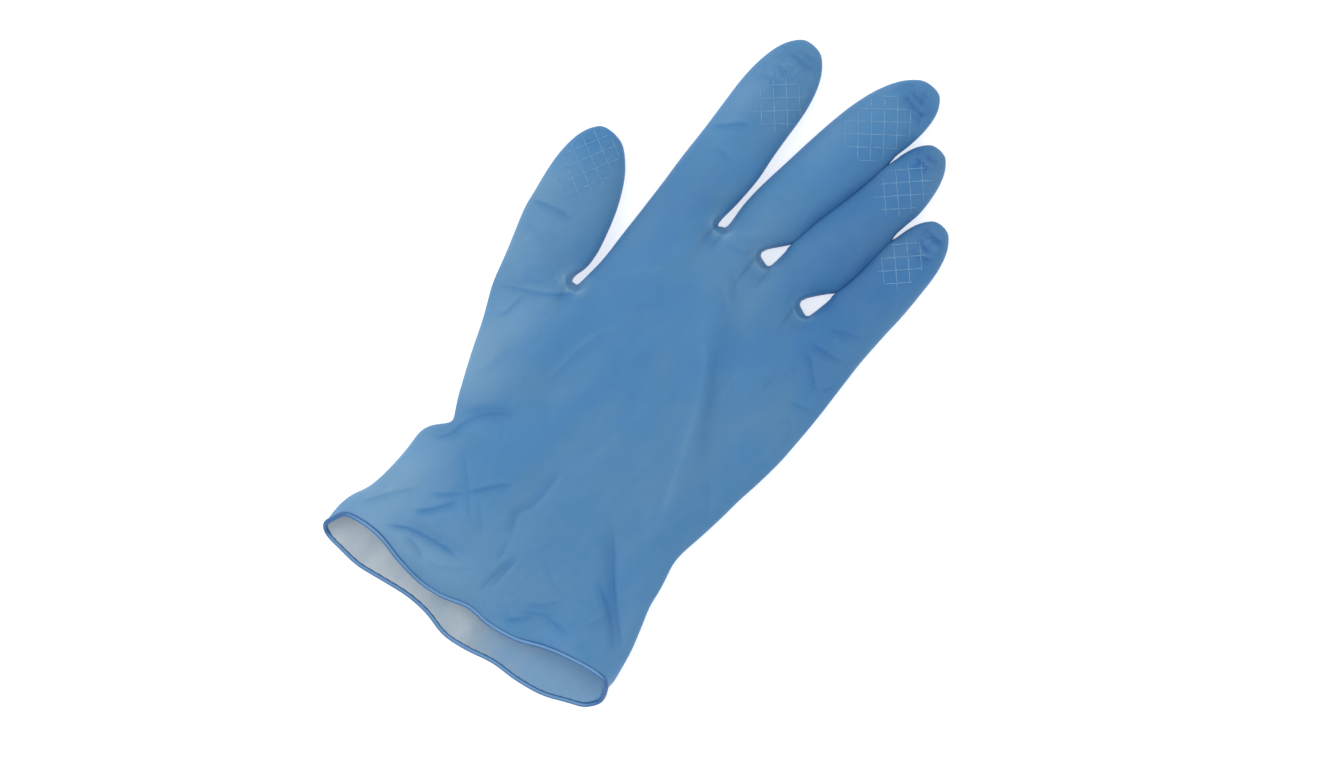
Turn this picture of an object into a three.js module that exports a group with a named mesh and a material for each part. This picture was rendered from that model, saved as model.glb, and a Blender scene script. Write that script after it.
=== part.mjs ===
import * as THREE from "three";
import { mergeVertices } from "three/addons/utils/BufferGeometryUtils.js";

// Disposable examination glove lying on its back, seen from above with the thumb on the left. It is one
// dipped film, a closed hand that is hollow from the five fingertips to the open cuff, and the rolled
// bead round the cuff's mouth. Millimetres, +Y from the cuff to the fingertips, +Z up from the table.

// Film and bead
const WALL = 1.0; // stands for the real film of about 0.1
const BEAD_RADIUS = 0.85;
const BEAD_SIDES = 8;
const BEAD_GAP = 0.35; // between the film's edge and the bead

const HAND_TURN = 2; // degrees from the frame of the tables below, so that the fingers run along +Y

// Section: the outline runs round the glove at a share of its height, and the film domes up from it over
// a quarter ellipse, and drops to the flat back over a tighter one.
const EDGE_SHARE = 0.4;
const TOP_ROUND = 26;
const BACK_ROUND = 6;

// Mesh steps
const DIGIT_STEPS = 6; // across one finger
const WEB_STEPS = 2; // across the web between two fingers
const CAP_ROWS = 4; // round a fingertip

const CROTCH_SINK = 0.9; // how far the middle of a web lies below its two corners
const WEB_ROUND = 8; // how far below a web the two sheets round off into it
const WEB_FADE = 18; // how far down the palm the valley below a web runs
const WEB_DEPTH = 0.4; // share of the height that the valley takes right below the web
const LIP_FADE = 34; // how far up the cuff the waves of its mouth run
const LIP_CORNER = 4.6; // radius of the mouth's two ends, seen from above
const LIP_LIFT = BEAD_RADIUS - WALL / 2; // lifts the lower lip so that the bead lies on the table

/** Rows of numbers as objects with named columns. */
const table = (columns, rows) =>
  rows.map((row) => Object.fromEntries(columns.map((name, i) => [name, row[i]])));

const SECTION = ["leftX", "leftY", "rightX", "rightY", "high"];

// Cuff and lower palm, from the mouth up to the line of the thumb's root.
const LOWER = {
  rows: 18,
  sections: table(SECTION, [
    [-53.3, -10.3, 54.9, 6.9, 12.0],
    [-53.4, -1.0, 53.6, 14.5, 12.5],
    [-50.4, 7.0, 51.9, 23.0, 12.5],
    [-49.2, 17.0, 49.2, 31.4, 12.5],
    [-49.4, 27.0, 46.3, 39.6, 12.0],
    [-49.3, 35.0, 45.1, 46.0, 11.5],
    [-44.3, 41.5, 43.5, 52.0, 11.0],
    [-47.9, 49.0, 42.4, 58.0, 11.5],
    [-54.9, 64.0, 43.3, 67.0, 12.5],
    [-59.5, 75.0, 44.3, 77.0, 13.0],
    [-64.5, 85.0, 44.9, 86.0, 13.0],
    [-67.6, 94.5, 45.9, 95.0, 13.0],
    [-70.8, 103.5, 46.5, 104.5, 13.0],
  ]),
};

// Upper palm, from the thumb's crotch to the roots of the four fingers.
const UPPER = {
  rows: 8,
  sections: table(SECTION, [
    [-43.0, 104.7, 46.5, 104.5, 13.0],
    [-42.5, 115.0, 46.4, 114.5, 13.0],
    [-43.2, 126.0, 46.0, 125.0, 12.6],
    [-43.9, 137.0, 45.2, 136.0, 12.2],
    [-44.8, 149.0, 44.5, 146.5, 11.8],
  ]),
};

// Each digit: sections from its root to the last one before the rounded tip, and the tip.
const DIGITS = [
  {
    name: "thumb",
    rows: 4,
    tip: [-68.0, 149.4],
    sections: table(SECTION, [
      [-70.8, 103.5, -45.6, 104.2, 12.0],
      [-73.4, 111.0, -44.7, 111.5, 12.0],
      [-74.8, 118.0, -45.7, 118.0, 11.6],
    ]),
  },
  {
    name: "index",
    rows: 6,
    tip: [-37.5, 215.5],
    sections: table(SECTION, [
      [-44.8, 149.0, -21.7, 150.3, 11.6],
      [-45.7, 159.0, -21.4, 160.0, 11.4],
      [-46.3, 169.5, -21.6, 170.0, 11.2],
      [-47.2, 180.0, -22.9, 179.0, 11.0],
      [-48.0, 190.0, -24.0, 190.0, 10.8],
    ]),
  },
  {
    name: "middle",
    rows: 8,
    tip: [1.2, 231.7],
    sections: table(SECTION, [
      [-18.9, 152.0, -4.6, 152.6, 11.6],
      [-19.7, 161.0, 0.2, 160.6, 11.4],
      [-19.4, 170.0, 1.4, 170.0, 11.2],
      [-18.4, 180.5, 3.4, 180.5, 11.2],
      [-17.4, 191.0, 5.2, 191.0, 11.0],
      [-16.2, 201.0, 6.2, 200.5, 11.0],
      [-14.8, 209.0, 8.0, 209.0, 10.8],
    ]),
  },
  {
    name: "ring",
    rows: 7,
    tip: [16.9, 217.5],
    sections: table(SECTION, [
      [0.6, 151.4, 16.0, 149.2, 11.4],
      [1.4, 160.6, 22.3, 159.5, 11.0],
      [2.5, 170.0, 23.7, 169.5, 10.8],
      [4.5, 180.5, 24.1, 180.0, 10.6],
      [6.5, 190.5, 25.2, 190.0, 10.4],
      [7.3, 197.0, 26.1, 197.0, 10.2],
    ]),
  },
  {
    name: "little",
    rows: 5,
    tip: [34.5, 199.2],
    sections: table(SECTION, [
      [21.3, 147.4, 44.5, 146.5, 11.0],
      [23.3, 158.5, 44.4, 158.0, 10.6],
      [24.7, 168.5, 44.6, 168.5, 10.2],
      [25.1, 178.0, 44.2, 178.0, 10.0],
    ]),
  },
];

// The mouth's two lips against the straight line between its corners: across is the share of the way from
// the thumb's side, upperY and lowerY how far each lip lies up or down the cuff, upperZ the upper's height.
const LIPS = table(
  ["across", "upperY", "upperZ", "lowerY"],
  [
    [0.0, 6.6, 11.0, -2.6],
    [0.08, 8.0, 14.5, -4.3],
    [0.16, 7.2, 15.0, -5.9],
    [0.25, 3.8, 13.0, -5.7],
    [0.34, 1.2, 10.5, -5.6],
    [0.42, 0.9, 9.2, -7.0],
    [0.5, 2.6, 8.8, -9.9],
    [0.58, 1.5, 8.8, -10.1],
    [0.67, 2.2, 9.6, -9.0],
    [0.76, 5.6, 12.0, -9.6],
    [0.85, 7.4, 14.0, -9.0],
    [0.93, 7.8, 14.0, -6.3],
    [1.0, 6.0, 11.0, -4.2],
  ],
);

// Main folds of the upper film: a ridge where rise is above 0, a valley where it is below.
const FOLDS = table(
  ["fromX", "fromY", "toX", "toY", "width", "rise"],
  [
    [-13.0, 141.0, 23.7, 85.0, 5.0, 1.3], // long ridge across the palm
    [23.7, 88.0, 36.0, 52.0, 5.0, 1.2], // and on to the heel
    [-2.0, 140.0, 34.0, 84.0, 5.0, -1.1], // valley along its outer side
    [-25.0, 97.0, -27.0, 65.0, 5.0, -1.3], // edge of the thumb's ball
    [-46.0, 43.0, -27.0, 61.0, 4.5, -1.8], // wrist crease on the thumb's side
    [50.0, 20.0, 22.0, 48.0, 4.5, -1.5], // crease at the heel of the hand
    [-36.0, 6.5, -9.0, 9.5, 4.0, -1.8], // crease above the mouth
    [-50.0, -1.0, -22.0, 27.0, 4.5, -1.1], // fold up from the mouth's corner
    [13.0, 6.0, 35.0, 17.0, 4.5, -1.2], // fold over the mouth's outer half
    [-9.5, 52.0, -6.0, 26.0, 4.5, -1.1], // crease down the middle of the wrist
    [-66.0, 85.0, -44.0, 97.0, 4.5, -1.2], // crease at the thumb's root
  ],
);

const mix = THREE.MathUtils.lerp;
const smooth = THREE.MathUtils.smoothstep;

/** Height of a quarter ellipse, 0 at the outline and 1 from the far end on. */
const dome = (distance, radius) => Math.sqrt(1 - (1 - Math.min(distance / radius, 1)) ** 2);

/** The two edges of a run of sections as curves; the left one's z holds the height. */
function edges({ sections, rows }) {
  const left = sections.map((s) => new THREE.Vector3(s.leftX, s.leftY, s.high));
  const right = sections.map((s) => new THREE.Vector3(s.rightX, s.rightY, s.high));
  const curve = (points) => new THREE.CatmullRomCurve3(points, false, "catmullrom", 0.5);
  return { left: curve(left), right: curve(right), rows };
}

/** A value of the lips' table at a share of the way across, on a smooth curve through its rows. */
function lip(column, across) {
  const curve = new THREE.SplineCurve(LIPS.map((row) => new THREE.Vector2(row.across, row[column])));
  const last = LIPS.length - 1;
  const next = Math.max(1, LIPS.findIndex((row) => row.across >= across - 1e-9));
  const [a, b] = [LIPS[next - 1].across, LIPS[next].across];
  return curve.getPoint((next - 1 + (across - a) / (b - a)) / last).y;
}

/** How far the folds raise the upper film at a point. */
function foldRise(x, y) {
  const point = new THREE.Vector3(x, y, 0);
  const nearest = new THREE.Vector3();
  return FOLDS.reduce((sum, f) => {
    const line = new THREE.Line3(new THREE.Vector3(f.fromX, f.fromY, 0), new THREE.Vector3(f.toX, f.toY, 0));
    const along = line.closestPointToPointParameter(point, true);
    const away = line.at(along, nearest).distanceTo(point) / f.width;
    return sum + f.rise * Math.exp(-away * away) * Math.sin(Math.PI * mix(0.15, 0.85, along));
  }, 0);
}

/** Shares of the way across a digit at which its columns stand, closer at the two edges. */
const digitShares = Array.from({ length: DIGIT_STEPS + 1 }, (_, i) => {
  return (1 - Math.cos((Math.PI * i) / DIGIT_STEPS)) / 2;
});

/** Columns of one row, each {x, y, dome: distance from the digit's or palm's own outline}. */
function digitColumns(left, right) {
  const width = Math.hypot(right.x - left.x, right.y - left.y);
  return digitShares.map((share) => ({
    x: mix(left.x, right.x, share),
    y: mix(left.y, right.y, share),
    inset: Math.min(share, 1 - share) * width,
    round: width / 2,
  }));
}

/** The columns between two digits' roots, on the edge of the web. */
function webColumns(from, to) {
  return Array.from({ length: WEB_STEPS - 1 }, (_, i) => {
    const share = (i + 1) / WEB_STEPS;
    const sink = CROTCH_SINK * Math.sin(Math.PI * share);
    return { x: mix(from.x, to.x, share), y: mix(from.y, to.y, share) - sink, inset: 0 };
  });
}

/** Vertices and faces of the film's outer surface. A row is {top, back}, lists of vertex numbers. */
class Film {
  constructor() {
    this.points = [];
    this.faces = [];
  }

  vertex(x, y, z) {
    return this.points.push(new THREE.Vector3(x, y, z)) - 1;
  }

  /** Adds a row of columns; the two sheets share a vertex where a column is closed. */
  row(columns) {
    const back = columns.map((c) => this.vertex(c.backX ?? c.x, c.backY ?? c.y, c.closed ? c.edgeZ : c.backZ));
    const top = columns.map((c, i) => (c.closed ? back[i] : this.vertex(c.x, c.y, c.topZ)));
    return { top, back };
  }

  quad(a, b, c, d) {
    [
      [a, b, c],
      [a, c, d],
    ].forEach((f) => new Set(f).size === 3 && this.faces.push(f));
  }

  /** Joins two rows with as many columns, the first nearer the cuff. */
  join(low, high) {
    for (let i = 0; i + 1 < low.top.length; i++) {
      this.quad(low.top[i], low.top[i + 1], high.top[i + 1], high.top[i]);
      this.quad(low.back[i + 1], low.back[i], high.back[i], high.back[i + 1]);
    }
  }

  /** Closes a digit's last row at its tip. */
  close(row, tip) {
    for (let i = 0; i + 1 < row.top.length; i++) {
      this.quad(row.top[i], row.top[i + 1], tip, tip);
      this.quad(row.back[i + 1], row.back[i], tip, tip);
    }
  }
}

/** Gives a column its two heights from its distance to the outline. */
function raise(column, high) {
  const edgeZ = EDGE_SHARE * high;
  column.edgeZ = edgeZ;
  column.topZ = edgeZ + (high - edgeZ) * dome(column.inset, Math.min(TOP_ROUND, column.round ?? TOP_ROUND));
  column.backZ = edgeZ - edgeZ * dome(column.inset, BACK_ROUND);
  return column;
}

const film = new Film();
const [thumb, ...fingers] = DIGITS;

/** The root sections of digits and the webs between them, as one list of columns. */
function rootColumns(digits) {
  const corner = (d, side) => ({ x: d.sections[0][side + "X"], y: d.sections[0][side + "Y"] });
  return digits.flatMap((d, k) => {
    const own = digitColumns(corner(d, "left"), corner(d, "right")).map((c, i) => {
      return { ...c, closed: i % DIGIT_STEPS === 0, digit: d };
    });
    if (!k) return own;
    const web = webColumns(corner(digits[k - 1], "right"), corner(d, "left"));
    return [...web.map((c) => ({ ...c, closed: true })), ...own];
  });
}

/** Where a column of a root line stands against the straight line between two ends. */
function against(column, left, right) {
  const [dx, dy] = [right.x - left.x, right.y - left.y];
  const share = ((column.x - left.x) * dx + (column.y - left.y) * dy) / (dx * dx + dy * dy);
  return { share, offX: column.x - left.x - share * dx, offY: column.y - left.y - share * dy };
}

/** One row of palm or cuff between two edges: columns move from even spacing to their place in the root line. */
function palmColumns(roots, at, progress, rowLeft, rowRight, spread) {
  const width = Math.hypot(rowRight.x - rowLeft.x, rowRight.y - rowLeft.y);
  return roots.map((root, i) => {
    const even = (1 - Math.cos((Math.PI * i) / (roots.length - 1))) / 2;
    const plain = mix(i / (roots.length - 1), even, 0.25);
    const share = mix(plain, at[i].share, mix(1 - spread, 1, progress));
    return {
      share,
      x: mix(rowLeft.x, rowRight.x, share) + at[i].offX * progress ** 2,
      y: mix(rowLeft.y, rowRight.y, share) + at[i].offY * progress ** 2,
      inset: Math.min(share, 1 - share) * width,
      closed: i === 0 || i === roots.length - 1,
    };
  });
}

/** Moves a row's heights towards those of the separate digits the nearer it is to their roots. */
function splitHeights(columns, roots, high, distance) {
  const valley = 1 - dome(distance, WEB_ROUND) * mix(1 - WEB_DEPTH, 1, smooth(distance, 0, WEB_FADE));
  const underside = 1 - dome(distance, WEB_ROUND);
  columns.forEach((column, i) => {
    const own = raise({ ...roots[i] }, high);
    column.topZ = mix(column.topZ, own.topZ, valley);
    column.backZ = mix(column.backZ, own.backZ, underside);
  });
}

/** The four fingers' root line, and the upper palm below it. */
const fingerRoots = rootColumns(fingers);
const upper = edges(UPPER);
const upperAt = fingerRoots.map((c) => against(c, fingerRoots[0], fingerRoots.at(-1)));

function upperColumns(t) {
  const [left, right] = [upper.left.getPoint(t), upper.right.getPoint(t)];
  const columns = palmColumns(fingerRoots, upperAt, t, left, right, 0);
  columns.forEach((column) => raise(column, left.z));
  const rest = upper.left.getPoint(1).y - left.y;
  splitHeights(columns, fingerRoots, left.z, rest);
  return columns;
}

/** The line of the thumb's root across the whole hand: the thumb, its web and the upper palm's first row. */
const thumbColumns = rootColumns([thumb]);
const palmStart = upperColumns(0);
const thumbWeb = webColumns(thumbColumns.at(-1), palmStart[0]).map((c) => ({ ...c, closed: true }));
const lowerRoots = [...thumbColumns, ...thumbWeb, ...palmStart];
const lowerAt = lowerRoots.map((c) => against(c, lowerRoots[0], lowerRoots.at(-1)));
const lower = edges(LOWER);

/** Gives a cuff row the waves of the mouth, which fade out up the cuff. */
function waveLips(columns, reach) {
  const fade = (1 - Math.min(reach / LIP_FADE, 1)) ** 2;
  const width = Math.hypot(columns.at(-1).x - columns[0].x, columns.at(-1).y - columns[0].y);
  columns.forEach((column) => {
    const round = dome(Math.min(column.share, 1 - column.share) * width, LIP_CORNER);
    const upperZ = mix(column.edgeZ, lip("upperZ", column.share), round);
    column.backX = column.x;
    column.backY = column.y + fade * round * lip("lowerY", column.share);
    column.y += fade * round * lip("upperY", column.share);
    column.topZ = mix(column.topZ, upperZ, fade);
    column.backZ += fade * LIP_LIFT * round;
  });
}

function lowerColumns(t) {
  const [left, right] = [lower.left.getPoint(t), lower.right.getPoint(t)];
  const columns = palmColumns(lowerRoots, lowerAt, t, left, right, 1);
  columns.forEach((column) => raise(column, left.z));
  const rest = lower.left.getPoint(1).distanceTo(left);
  splitHeights(columns, lowerRoots, left.z, rest);
  waveLips(columns, left.distanceTo(lower.left.getPoint(0)));
  return columns;
}

/** Raises the folds and adds the row to the film. */
function addRow(columns) {
  columns.filter((c) => !c.closed).forEach((c) => (c.topZ += foldRise(c.x, c.y)));
  return film.row(columns);
}

/** A row of a digit between its two edges. */
function bodyColumns(left, right) {
  return digitColumns(left, right).map((c, i) => {
    return raise({ ...c, closed: i % DIGIT_STEPS === 0 }, left.z);
  });
}

/** Builds a digit on the row of vertices that is its root. */
function buildDigit(digit, root) {
  const { left, right, rows } = edges(digit);
  let last = root;
  for (let r = 1; r <= rows; r++) {
    const next = addRow(bodyColumns(left.getPoint(r / rows), right.getPoint(r / rows)));
    film.join(last, next);
    last = next;
  }
  const [endLeft, endRight] = [left.getPoint(1), right.getPoint(1)];
  const centre = endLeft.clone().add(endRight).multiplyScalar(0.5);
  const tip = new THREE.Vector3(digit.tip[0], digit.tip[1], centre.z);
  for (let r = 1; r <= CAP_ROWS; r++) {
    const turn = (Math.PI / 2) * (r / (CAP_ROWS + 1));
    const [along, shrink] = [Math.sin(turn), Math.cos(turn) ** 0.85];
    const middle = centre.clone().lerp(tip, along);
    const columns = [endLeft, endRight].map((end) => end.clone().sub(centre).multiplyScalar(shrink).add(middle));
    const made = bodyColumns(...columns.map((c) => c.setZ(centre.z)));
    made.forEach((c) => {
      c.topZ = mix(c.edgeZ, c.topZ, shrink);
      c.backZ = mix(c.edgeZ, c.backZ, shrink ** 0.6);
    });
    const next = film.row(made);
    film.join(last, next);
    last = next;
  }
  film.close(last, film.vertex(tip.x, tip.y, EDGE_SHARE * tip.z));
}

/** Part of a row of vertices. */
const slice = (row, from, to) => ({ top: row.top.slice(from, to), back: row.back.slice(from, to) });

const mouth = addRow(lowerColumns(0));
let row = mouth;
let beforeMouth;
for (let r = 1; r <= lower.rows; r++) {
  const columns = lowerColumns(r / lower.rows);
  if (r === lower.rows) columns.forEach((c, i) => (c.closed = lowerRoots[i].closed));
  const next = addRow(columns);
  film.join(row, next);
  beforeMouth ??= next;
  row = next;
}

buildDigit(thumb, slice(row, 0, DIGIT_STEPS + 1));
row = slice(row, DIGIT_STEPS + WEB_STEPS, row.top.length);
for (let r = 1; r <= upper.rows; r++) {
  const columns = upperColumns(r / upper.rows);
  if (r === upper.rows) columns.forEach((c, i) => (c.closed = fingerRoots[i].closed));
  const next = addRow(columns);
  film.join(row, next);
  row = next;
}
fingers.forEach((digit, k) => {
  const from = k * (DIGIT_STEPS + WEB_STEPS);
  buildDigit(digit, slice(row, from, from + DIGIT_STEPS + 1));
});

/** A closed loop of the mouth's vertices: the upper lip, then the lower one back. */
const loop = ({ top, back }) => [...top, ...back.slice(1, -1).reverse()];

/** The outer surface, its offset by the wall, and the strip that joins them round the mouth. */
function filmGeometry() {
  const outer = new THREE.BufferGeometry().setFromPoints(film.points).setIndex(film.faces.flat());
  outer.computeVertexNormals();
  const normals = outer.getAttribute("normal");
  const inner = film.points.map((p, i) => {
    return p.clone().addScaledVector(new THREE.Vector3().fromBufferAttribute(normals, i), -WALL);
  });
  const count = film.points.length;
  const turned = film.faces.map(([a, b, c]) => [c + count, b + count, a + count]);
  const ring = loop(mouth);
  const strip = ring.flatMap((a, i) => {
    const b = ring[(i + 1) % ring.length];
    return [
      [b, a, a + count],
      [b, a + count, b + count],
    ];
  });
  const all = [...film.points, ...inner];
  const geometry = new THREE.BufferGeometry().setFromPoints(all);
  geometry.setIndex([...film.faces, ...turned, ...strip].flat());
  return { geometry, inner };
}

/** The rolled bead: a round ring that follows the mouth just past the film's edge. */
function beadGeometry(inner) {
  const [edge, behind] = [loop(mouth), loop(beforeMouth)];
  const centres = edge.map((v, i) => {
    const middle = film.points[v].clone().add(inner[v]).multiplyScalar(0.5);
    const back = film.points[behind[i]].clone().add(inner[behind[i]]).multiplyScalar(0.5);
    const out = middle.clone().sub(back).normalize();
    const centre = middle.addScaledVector(out, BEAD_RADIUS + BEAD_GAP);
    return centre.setZ(Math.max(centre.z, BEAD_RADIUS));
  });
  const path = new THREE.CatmullRomCurve3(centres, true, "catmullrom", 0.5);
  const tube = new THREE.TubeGeometry(path, centres.length, BEAD_RADIUS, BEAD_SIDES, true);
  tube.deleteAttribute("normal");
  tube.deleteAttribute("uv");
  return mergeVertices(tube, 1e-3);
}

const { geometry, inner } = filmGeometry();
geometry.computeVertexNormals();
const bead = beadGeometry(inner);
bead.computeVertexNormals();

const filmMaterial = new THREE.MeshStandardMaterial({ color: 0x6a9fd0, roughness: 0.55, metalness: 0 });
const beadMaterial = new THREE.MeshStandardMaterial({ color: 0x4a80c2, roughness: 0.5, metalness: 0 });

const filmMesh = new THREE.Mesh(geometry, filmMaterial);
filmMesh.name = "glove_film";
const beadMesh = new THREE.Mesh(bead, beadMaterial);
beadMesh.name = "cuff_bead";

const hand = new THREE.Group();
hand.add(filmMesh, beadMesh);
hand.rotation.z = THREE.MathUtils.degToRad(HAND_TURN);

const glove = new THREE.Group();
glove.add(hand);

// The origin is the middle of the glove's box, on the table.
const box = new THREE.Box3().setFromObject(glove, true);
const middle = box.getCenter(new THREE.Vector3());
hand.position.set(-middle.x, -middle.y, -box.min.z);

export default glove;
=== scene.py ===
"""Disposable glove, dressed over its solid model: a thin translucent film with its folds, the rolled bead
round the cuff's mouth and the raised lattices on the finger pads, on a white table in soft light."""

from __future__ import annotations

import logging
import math
from dataclasses import dataclass, field
from enum import Enum

import bmesh
import bpy
import numpy as np
from mathutils import Matrix, Vector, noise
from mathutils.bvhtree import BVHTree
from mathutils.kdtree import KDTree

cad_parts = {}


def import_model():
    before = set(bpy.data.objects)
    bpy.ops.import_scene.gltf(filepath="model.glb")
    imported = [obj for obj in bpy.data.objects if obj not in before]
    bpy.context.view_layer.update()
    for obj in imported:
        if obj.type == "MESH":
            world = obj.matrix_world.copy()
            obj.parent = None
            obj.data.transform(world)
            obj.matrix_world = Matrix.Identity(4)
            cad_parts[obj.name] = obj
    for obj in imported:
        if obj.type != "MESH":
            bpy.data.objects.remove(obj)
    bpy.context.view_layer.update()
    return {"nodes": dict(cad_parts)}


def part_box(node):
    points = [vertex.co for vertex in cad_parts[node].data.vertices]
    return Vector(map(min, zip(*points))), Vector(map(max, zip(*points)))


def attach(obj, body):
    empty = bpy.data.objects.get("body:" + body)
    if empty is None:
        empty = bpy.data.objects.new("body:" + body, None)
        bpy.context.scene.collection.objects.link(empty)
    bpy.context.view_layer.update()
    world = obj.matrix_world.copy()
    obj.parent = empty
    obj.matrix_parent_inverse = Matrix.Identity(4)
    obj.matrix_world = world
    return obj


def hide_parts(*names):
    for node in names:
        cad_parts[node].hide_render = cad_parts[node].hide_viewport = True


log = logging.getLogger("glove")

MM = 0.001
MERGE = 2e-6  # points nearer than this, in metres, are one
HAND_TURN = 2.0  # how far the hand is turned in the frame, in degrees
CUFF_CORNER = (54.9, 6.9)  # the cuff's outer corner, in millimetres from the cuff's middle
LONGEST_TIP = (1.2, 231.7)  # the middle finger's tip, measured the same way
RELIEF = 0.7  # the share of its own height with which a fold stands in the film
CREASE_LAYERS = 8
Colour = tuple[float, float, float, float]


def rgb(red: float, green: float, blue: float) -> Colour:
    """A linear colour from a screen colour of 0 to 255."""
    screen = (red / 255, green / 255, blue / 255)
    linear = [((part + 0.055) / 1.055) ** 2.4 if part > 0.04 else part / 12.92 for part in screen]
    return (linear[0], linear[1], linear[2], 1.0)


def smooth_step(value: np.ndarray, low: float, high: float) -> np.ndarray:
    """0 below low, 1 above high, and a smooth rise between them."""
    t = np.clip((value - low) / (high - low), 0.0, 1.0)
    return t * t * (3.0 - 2.0 * t)


def smooth_line(points: np.ndarray, steps: int = 5) -> np.ndarray:
    """A curve through the points, as more points: a Catmull-Rom spline."""
    ends = np.vstack([2 * points[:1] - points[1:2], points, 2 * points[-1:] - points[-2:-1]])
    line = [points[:1]]
    for before, start, end, after in zip(ends[:-3], ends[1:-2], ends[2:-1], ends[3:]):
        t = np.linspace(0.0, 1.0, steps + 1)[1:, None]
        square = 2 * before - 5 * start + 4 * end - after
        cube = 3 * start - before - 3 * end + after
        bend = square * t**2 + cube * t**3
        line.append(start + 0.5 * ((end - before) * t + bend))
    return np.vstack(line)


# Shader maths


class Socket:
    """A shader value that can be used in Python expressions. Each operator adds its Math node."""

    def __init__(self, shader: "Shader", output: bpy.types.NodeSocket) -> None:
        """Args:
        shader: the material's nodes that the value belongs to.
        output: the node output that gives the value.
        """
        self.shader = shader
        self.output = output

    def _math(self, operation: str, a: "Socket | float", b: "Socket | float") -> "Socket":
        """Returns: the result of one Math node."""
        return self.shader.node("ShaderNodeMath", {"operation": operation}, {0: a, 1: b})

    def __add__(self, other: "Socket | float") -> "Socket":
        """The sum."""
        return self._math("ADD", self, other)

    def __radd__(self, other: float) -> "Socket":
        """The sum, with the number on the left."""
        return self._math("ADD", other, self)

    def __sub__(self, other: "Socket | float") -> "Socket":
        """The difference."""
        return self._math("SUBTRACT", self, other)

    def __rsub__(self, other: float) -> "Socket":
        """The difference, with the number on the left."""
        return self._math("SUBTRACT", other, self)

    def __mul__(self, other: "Socket | float") -> "Socket":
        """The product."""
        return self._math("MULTIPLY", self, other)

    def __rmul__(self, other: float) -> "Socket":
        """The product, with the number on the left."""
        return self._math("MULTIPLY", other, self)

    def bell(self, width: float) -> "Socket":
        """1 where the value is 0, falling off to both sides over the width."""
        scaled = self * (1.0 / width)
        return self._math("EXPONENT", scaled * scaled * -1.0, 0.0)


class Shader:
    """The nodes of one material."""

    def __init__(self, name: str) -> None:
        """Args:
        name: the material's name.
        """
        self.material = bpy.data.materials.new(name)
        self.material.use_nodes = True
        self.tree = self.material.node_tree
        self.tree.nodes.clear()

    def node(
        self,
        kind: str,
        settings: dict[str, object] | None = None,
        inputs: dict[str | int, object] | None = None,
        output: str | int = 0,
    ) -> Socket:
        """Adds a node.

        Args:
            kind: the node's type.
            settings: the node's own settings; stops gives a colour ramp's positions and colours.
            inputs: values or links by socket name or number.
            output: the output to hand back.

        Returns:
            The chosen output.
        """
        made = self.tree.nodes.new(kind)
        for key, value in (settings or {}).items():
            if key == "stops":
                self._set_stops(made, value)
            else:
                setattr(made, key, value)
        for key, value in (inputs or {}).items():
            if isinstance(value, Socket):
                self.tree.links.new(value.output, made.inputs[key])
            else:
                made.inputs[key].default_value = value
        return Socket(self, made.outputs[output])

    @staticmethod
    def _set_stops(made: bpy.types.Node, stops: list[tuple[float, Colour]]) -> None:
        """Sets a colour ramp's stops."""
        elements = made.color_ramp.elements
        while len(elements) > 1:
            elements.remove(elements[0])
        for index, (position, colour) in enumerate(stops):
            element = elements[0] if index == 0 else elements.new(position)
            element.position = position
            element.color = colour

    def place(self) -> Socket:
        """The point in the glove's own frame."""
        return self.node("ShaderNodeTexCoord", output="Object")

    def attribute(self, name: str) -> Socket:
        """A value that the piece's mesh carries at each point."""
        return self.node("ShaderNodeAttribute", {"attribute_name": name}, output="Fac")

    def cloud(
        self,
        size: float,
        detail: float,
        stretch: tuple[float, float, float] = (1, 1, 1),
        swirl: float = 0.0,
    ) -> Socket:
        """Smooth noise.

        Args:
            size: the size of its patches in millimetres.
            detail: how many finer layers it has.
            stretch: how much closer the patches lie along each axis.
            swirl: how much the patches are twisted.

        Returns:
            A value from 0 to 1, around 0.5.
        """
        turned = self.node("ShaderNodeMapping", inputs={"Vector": self.place(), "Scale": stretch})
        values = {"Vector": turned, "Scale": 1.0 / (size * MM), "Detail": detail, "Distortion": swirl}
        return self.node("ShaderNodeTexNoise", inputs=values)

    def ramp(self, value: Socket, stops: list[tuple[float, Colour]]) -> Socket:
        """A colour from a value between 0 and 1."""
        return self.node("ShaderNodeValToRGB", {"stops": stops}, {"Fac": value}, "Color")

    def blend(self, first: Socket, second: Colour, share: Socket) -> Socket:
        """A colour with a share of a second one in it."""
        values = {0: share, 6: first, 7: second}
        return self.node("ShaderNodeMix", {"data_type": "RGBA"}, values, 2)

    def bump(self, height: Socket, strength: float, distance: float) -> Socket:
        """A normal from a height in units of distance, in millimetres."""
        values = {"Height": height, "Strength": strength, "Distance": distance * MM}
        return self.node("ShaderNodeBump", inputs=values, output="Normal")

    def finish(self, inputs: dict[str, object], glow: float = 0.0) -> bpy.types.Material:
        """Adds the Principled shader and the output.

        Args:
            inputs: the shader's values and links by socket name.
            glow: the share of the light that comes through a thin film instead of off it.

        Returns:
            The finished material.
        """
        surface = self.node("ShaderNodeBsdfPrincipled", inputs=inputs)
        if glow:
            through = self.node("ShaderNodeBsdfTranslucent", inputs={"Color": inputs["Base Color"]})
            surface = self.node("ShaderNodeMixShader", inputs={0: glow, 1: surface, 2: through})
        self.node_output(surface)
        return self.material

    def node_output(self, surface: Socket) -> None:
        """Links a surface to the material's output."""
        made = self.tree.nodes.new("ShaderNodeOutputMaterial")
        self.tree.links.new(surface.output, made.inputs["Surface"])


# Finishes


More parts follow.
